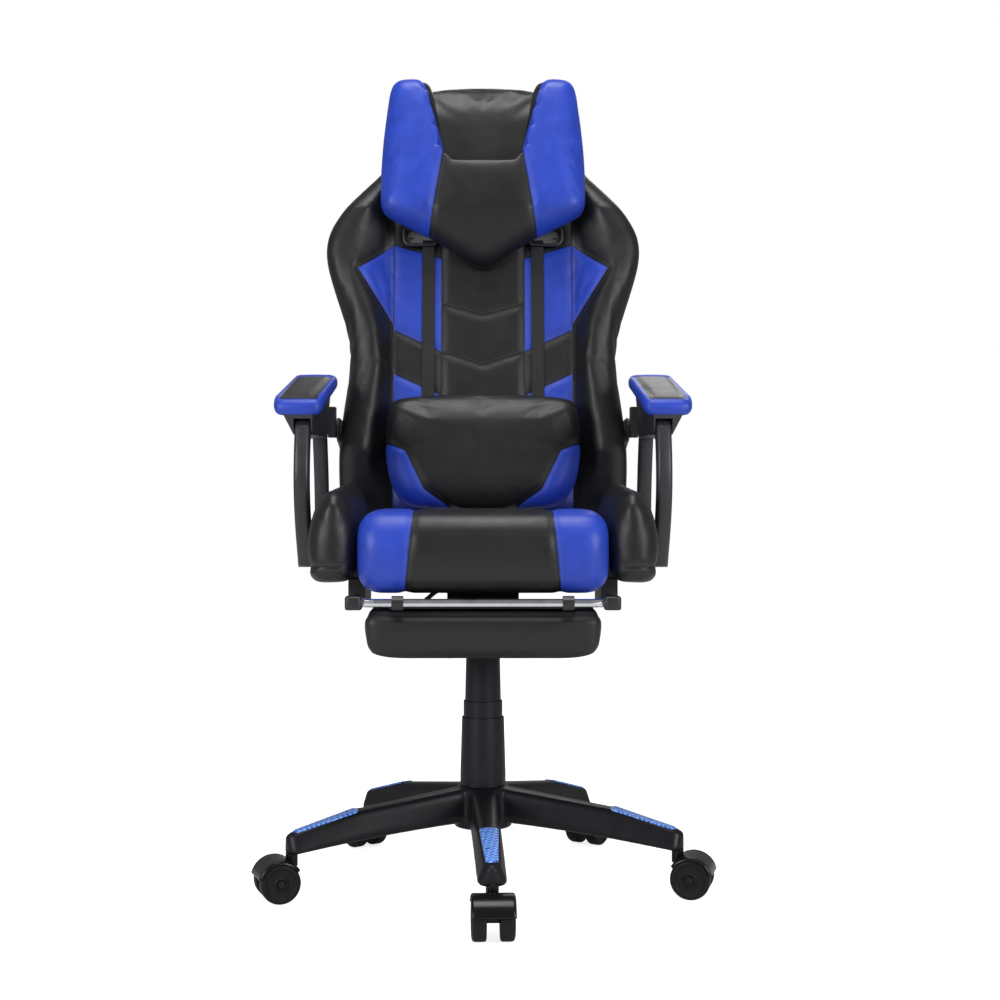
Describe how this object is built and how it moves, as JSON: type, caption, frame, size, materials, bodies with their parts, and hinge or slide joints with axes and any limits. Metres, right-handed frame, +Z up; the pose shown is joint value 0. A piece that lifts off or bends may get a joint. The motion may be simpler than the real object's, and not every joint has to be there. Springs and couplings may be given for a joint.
{
  "type": "gaming chair",
  "caption": "Reclining bucket-back chair on a five-arm caster base, with gas lift, linked arm rests, head and lumbar cushions, and a pull-out footrest.",
  "frame": {"origin": "middle of the footprint of the whole chair, on the floor", "axes": "+Z up, -Y the way the sitter looks, +X to the sitter's left"},
  "size_m": [0.6996, 0.7124, 1.3028],
  "materials": {
    "base_plastic": "satin nylon, dark with a faint purple cast",
    "column_plastic": "satin",
    "caster_plastic": "satin",
    "wheel_rubber": "satin",
    "chrome": "polished",
    "painted_steel": "satin powder coat",
    "arm_plastic": "satin",
    "arm_padding": "satin coated fabric over foam",
    "black_plastic": "satin",
    "blue_upholstery": "satin coated fabric over foam",
    "black_upholstery": "satin coated fabric over foam"
  },
  "bodies": {
    "base": {"star_base": "base_plastic", "gas_standpipe": "painted_steel", "lower_cover": "column_plastic"},
    "middle_cover": {"mid_cover": "column_plastic"},
    "rod": {"piston_rod": "chrome"},
    "lift": {"gas_cylinder": "chrome", "upper_cover": "column_plastic", "mechanism_housing": "painted_steel", "tension_spring": "painted_steel"},
    "release_pin": {"release_pin": "painted_steel"},
    "tension_knob": {"tension_knob": "black_plastic"},
    "lever_saddle": {"lever_saddle": "black_plastic"},
    "height_lever": {"height_lever": "painted_steel"},
    "seat": {"seat_plate": "painted_steel", "seat_frame": "painted_steel", "seat_cushion": "blue_upholstery", "seat_bolster_left": "black_upholstery", "seat_bolster_right": "black_upholstery", "side_bracket_left": "painted_steel", "side_bracket_right": "painted_steel", "footrest_guide_left": "black_plastic", "footrest_guide_right": "black_plastic"},
    "recline_lever": {"recline_lever": "black_plastic"},
    "footrest_slide": {"footrest_tube": "chrome"},
    "footrest_board": {"footrest_hinge": "painted_steel", "footrest_pad": "black_upholstery"},
    "back": {"back_frame": "painted_steel", "back_cushion": "black_upholstery", "back_bolster_left": "black_upholstery", "back_bolster_right": "black_upholstery", "back_shell": "black_upholstery", "head_pillow": "blue_upholstery", "lumbar_cushion": "black_upholstery", "recliner_plate_left": "painted_steel", "recliner_plate_right": "painted_steel", "arm_bracket_left": "arm_plastic", "arm_bracket_right": "arm_plastic"},
    "caster_1_body": {"caster_1_fork": "caster_plastic"},
    "caster_1_left_wheel": {"caster_1_wheel_left": "wheel_rubber"},
    "caster_1_right_wheel": {"caster_1_wheel_right": "wheel_rubber"},
    "caster_2_body": {"caster_2_fork": "caster_plastic"},
    "caster_2_left_wheel": {"caster_2_wheel_left": "wheel_rubber"},
    "caster_2_right_wheel": {"caster_2_wheel_right": "wheel_rubber"},
    "caster_3_body": {"caster_3_fork": "caster_plastic"},
    "caster_3_left_wheel": {"caster_3_wheel_left": "wheel_rubber"},
    "caster_3_right_wheel": {"caster_3_wheel_right": "wheel_rubber"},
    "caster_4_body": {"caster_4_fork": "caster_plastic"},
    "caster_4_left_wheel": {"caster_4_wheel_left": "wheel_rubber"},
    "caster_4_right_wheel": {"caster_4_wheel_right": "wheel_rubber"},
    "caster_5_body": {"caster_5_fork": "caster_plastic"},
    "caster_5_left_wheel": {"caster_5_wheel_left": "wheel_rubber"},
    "caster_5_right_wheel": {"caster_5_wheel_right": "wheel_rubber"},
    "arm_leg_front_left": {"arm_leg_front_left": "arm_plastic"},
    "arm_leg_rear_left": {"arm_leg_rear_left": "arm_plastic"},
    "arm_rest_left": {"arm_carrier_left": "arm_plastic", "arm_pad_left": "arm_padding"},
    "arm_leg_front_right": {"arm_leg_front_right": "arm_plastic"},
    "arm_leg_rear_right": {"arm_leg_rear_right": "arm_plastic"},
    "arm_rest_right": {"arm_carrier_right": "arm_plastic", "arm_pad_right": "arm_padding"}
  },
  "joints": [
    {"name": "caster_1_swivel", "type": "hinge", "parent": "base", "child": "caster_1_body", "pos_m": [0.00927, -0.29978, 0], "axis": [0, 0, 1], "continuous": true},
    {"name": "caster_1_left_roll", "type": "hinge", "parent": "caster_1_body", "child": "caster_1_left_wheel", "pos_m": [0.01019, -0.32176, 0.03], "axis": [0.9991, 0.0419, 0], "continuous": true},
    {"name": "caster_1_right_roll", "type": "hinge", "parent": "caster_1_body", "child": "caster_1_right_wheel", "pos_m": [0.01019, -0.32176, 0.03], "axis": [0.9991, 0.0419, 0], "continuous": true},
    {"name": "caster_2_swivel", "type": "hinge", "parent": "base", "child": "caster_2_body", "pos_m": [0.28842, -0.07853, 0], "axis": [0, 0, 1], "continuous": true},
    {"name": "caster_2_left_roll", "type": "hinge", "parent": "caster_2_body", "child": "caster_2_left_wheel", "pos_m": [0.30961, -0.08445, 0.03], "axis": [0.2689, 0.9632, 0], "continuous": true},
    {"name": "caster_2_right_roll", "type": "hinge", "parent": "caster_2_body", "child": "caster_2_right_wheel", "pos_m": [0.30961, -0.08445, 0.03], "axis": [0.2689, 0.9632, 0], "continuous": true},
    {"name": "caster_3_swivel", "type": "hinge", "parent": "base", "child": "caster_3_body", "pos_m": [0.16426, 0.25533, 0], "axis": [0, 0, 1], "continuous": true},
    {"name": "caster_3_left_roll", "type": "hinge", "parent": "caster_3_body", "child": "caster_3_left_wheel", "pos_m": [0.17644, 0.27365, 0.03], "axis": [-0.8329, 0.5534, 0], "continuous": true},
    {"name": "caster_3_right_roll", "type": "hinge", "parent": "caster_3_body", "child": "caster_3_right_wheel", "pos_m": [0.17644, 0.27365, 0.03], "axis": [-0.8329, 0.5534, 0], "continuous": true},
    {"name": "caster_4_swivel", "type": "hinge", "parent": "base", "child": "caster_4_body", "pos_m": [-0.19162, 0.24041, 0], "axis": [0, 0, 1], "continuous": true},
    {"name": "caster_4_left_roll", "type": "hinge", "parent": "caster_4_body", "child": "caster_4_left_wheel", "pos_m": [-0.20529, 0.25765, 0.03], "axis": [-0.7837, -0.6211, 0], "continuous": true},
    {"name": "caster_4_right_roll", "type": "hinge", "parent": "caster_4_body", "child": "caster_4_right_wheel", "pos_m": [-0.20529, 0.25765, 0.03], "axis": [-0.7837, -0.6211, 0], "continuous": true},
    {"name": "caster_5_swivel", "type": "hinge", "parent": "base", "child": "caster_5_body", "pos_m": [-0.28741, -0.10266, 0], "axis": [0, 0, 1], "continuous": true},
    {"name": "caster_5_left_roll", "type": "hinge", "parent": "caster_5_body", "child": "caster_5_left_wheel", "pos_m": [-0.30803, -0.11033, 0.03], "axis": [0.3486, -0.9373, 0], "continuous": true},
    {"name": "caster_5_right_roll", "type": "hinge", "parent": "caster_5_body", "child": "caster_5_right_wheel", "pos_m": [-0.30803, -0.11033, 0.03], "axis": [0.3486, -0.9373, 0], "continuous": true},
    {"name": "seat_swivel", "type": "hinge", "parent": "base", "child": "rod", "pos_m": [-0.00342, 0.00295, 0.087], "axis": [0, 0, 1], "continuous": true},
    {"name": "height", "type": "slide", "parent": "rod", "child": "lift", "axis": [0, 0, 1], "range_m": [-0.075, 0]},
    {"name": "middle_cover_slide", "type": "slide", "parent": "base", "child": "middle_cover", "axis": [0, 0, 1], "range_m": [-0.025, 0]},
    {"name": "lever_lift", "type": "hinge", "parent": "lift", "child": "lever_saddle", "pos_m": [-0.03342, 0.00295, 0.456], "axis": [0, 1, 0], "range_deg": [0, 7], "stiffness_Nm_per_rad": 3, "springref_deg": -22.92},
    {"name": "tilt_lock", "type": "slide", "parent": "lever_saddle", "child": "height_lever", "axis": [-1, 0, 0], "range_m": [0, 0.012]},
    {"name": "release_press", "type": "slide", "parent": "lift", "child": "release_pin", "axis": [0, 0, 1], "range_m": [-0.0042, 0]},
    {"name": "tension_turn", "type": "hinge", "parent": "lift", "child": "tension_knob", "pos_m": [-0.00342, -0.04605, 0.424], "axis": [0, 0, 1], "continuous": true},
    {"name": "rock", "type": "hinge", "parent": "lift", "child": "seat", "pos_m": [-0.00342, -0.05705, 0.466], "axis": [-1, 0, 0], "range_deg": [0, 12], "stiffness_Nm_per_rad": 220, "springref_deg": -25.78},
    {"name": "recline", "type": "hinge", "parent": "seat", "child": "back", "pos_m": [-0.00342, 0.21295, 0.512], "axis": [-1, 0, 0], "range_deg": [0, 40]},
    {"name": "recline_lever_lift", "type": "hinge", "parent": "seat", "child": "recline_lever", "pos_m": [-0.27072, 0.21295, 0.512], "axis": [-1, 0, 0], "range_deg": [0, 25], "stiffness_Nm_per_rad": 2, "springref_deg": -28.65},
    {"name": "footrest_pull", "type": "slide", "parent": "seat", "child": "footrest_slide", "axis": [0, -1, 0], "range_m": [0, 0.24]},
    {"name": "footrest_flip", "type": "hinge", "parent": "footrest_slide", "child": "footrest_board", "pos_m": [-0.00342, -0.27205, 0.452], "axis": [-1, 0, 0], "range_deg": [0, 180]},
    {"name": "arm_leg_front_left_swing", "type": "hinge", "parent": "seat", "child": "arm_leg_front_left", "pos_m": [0.26388, -0.06205, 0.505], "axis": [-1, 0, 0], "range_deg": [0, 40]},
    {"name": "arm_leg_rear_left_swing", "type": "hinge", "parent": "seat", "child": "arm_leg_rear_left", "pos_m": [0.26388, 0.18295, 0.512], "axis": [-1, 0, 0], "range_deg": [0, 40]},
    {"name": "arm_rest_left_level", "type": "hinge", "parent": "back", "child": "arm_rest_left", "pos_m": [0.24388, 0.17295, 0.707], "axis": [-1, 0, 0], "range_deg": [-40, 0]},
    {"name": "arm_leg_front_right_swing", "type": "hinge", "parent": "seat", "child": "arm_leg_front_right", "pos_m": [-0.27072, -0.06205, 0.505], "axis": [-1, 0, 0], "range_deg": [0, 40]},
    {"name": "arm_leg_rear_right_swing", "type": "hinge", "parent": "seat", "child": "arm_leg_rear_right", "pos_m": [-0.27072, 0.18295, 0.512], "axis": [-1, 0, 0], "range_deg": [0, 40]},
    {"name": "arm_rest_right_level", "type": "hinge", "parent": "back", "child": "arm_rest_right", "pos_m": [-0.25072, 0.17295, 0.707], "axis": [-1, 0, 0], "range_deg": [-40, 0]}
  ],
  "couplings": [
    {"joint": "middle_cover_slide", "follows": "height", "ratio": 0.33333},
    {"joint": "release_press", "follows": "lever_lift", "m_per_rad": -0.033},
    {"joint": "arm_leg_front_left_swing", "follows": "recline", "ratio": 1},
    {"joint": "arm_leg_rear_left_swing", "follows": "recline", "ratio": 1},
    {"joint": "arm_rest_left_level", "follows": "recline", "ratio": -1},
    {"joint": "arm_leg_front_right_swing", "follows": "recline", "ratio": 1},
    {"joint": "arm_leg_rear_right_swing", "follows": "recline", "ratio": 1},
    {"joint": "arm_rest_right_level", "follows": "recline", "ratio": -1}
  ]
}
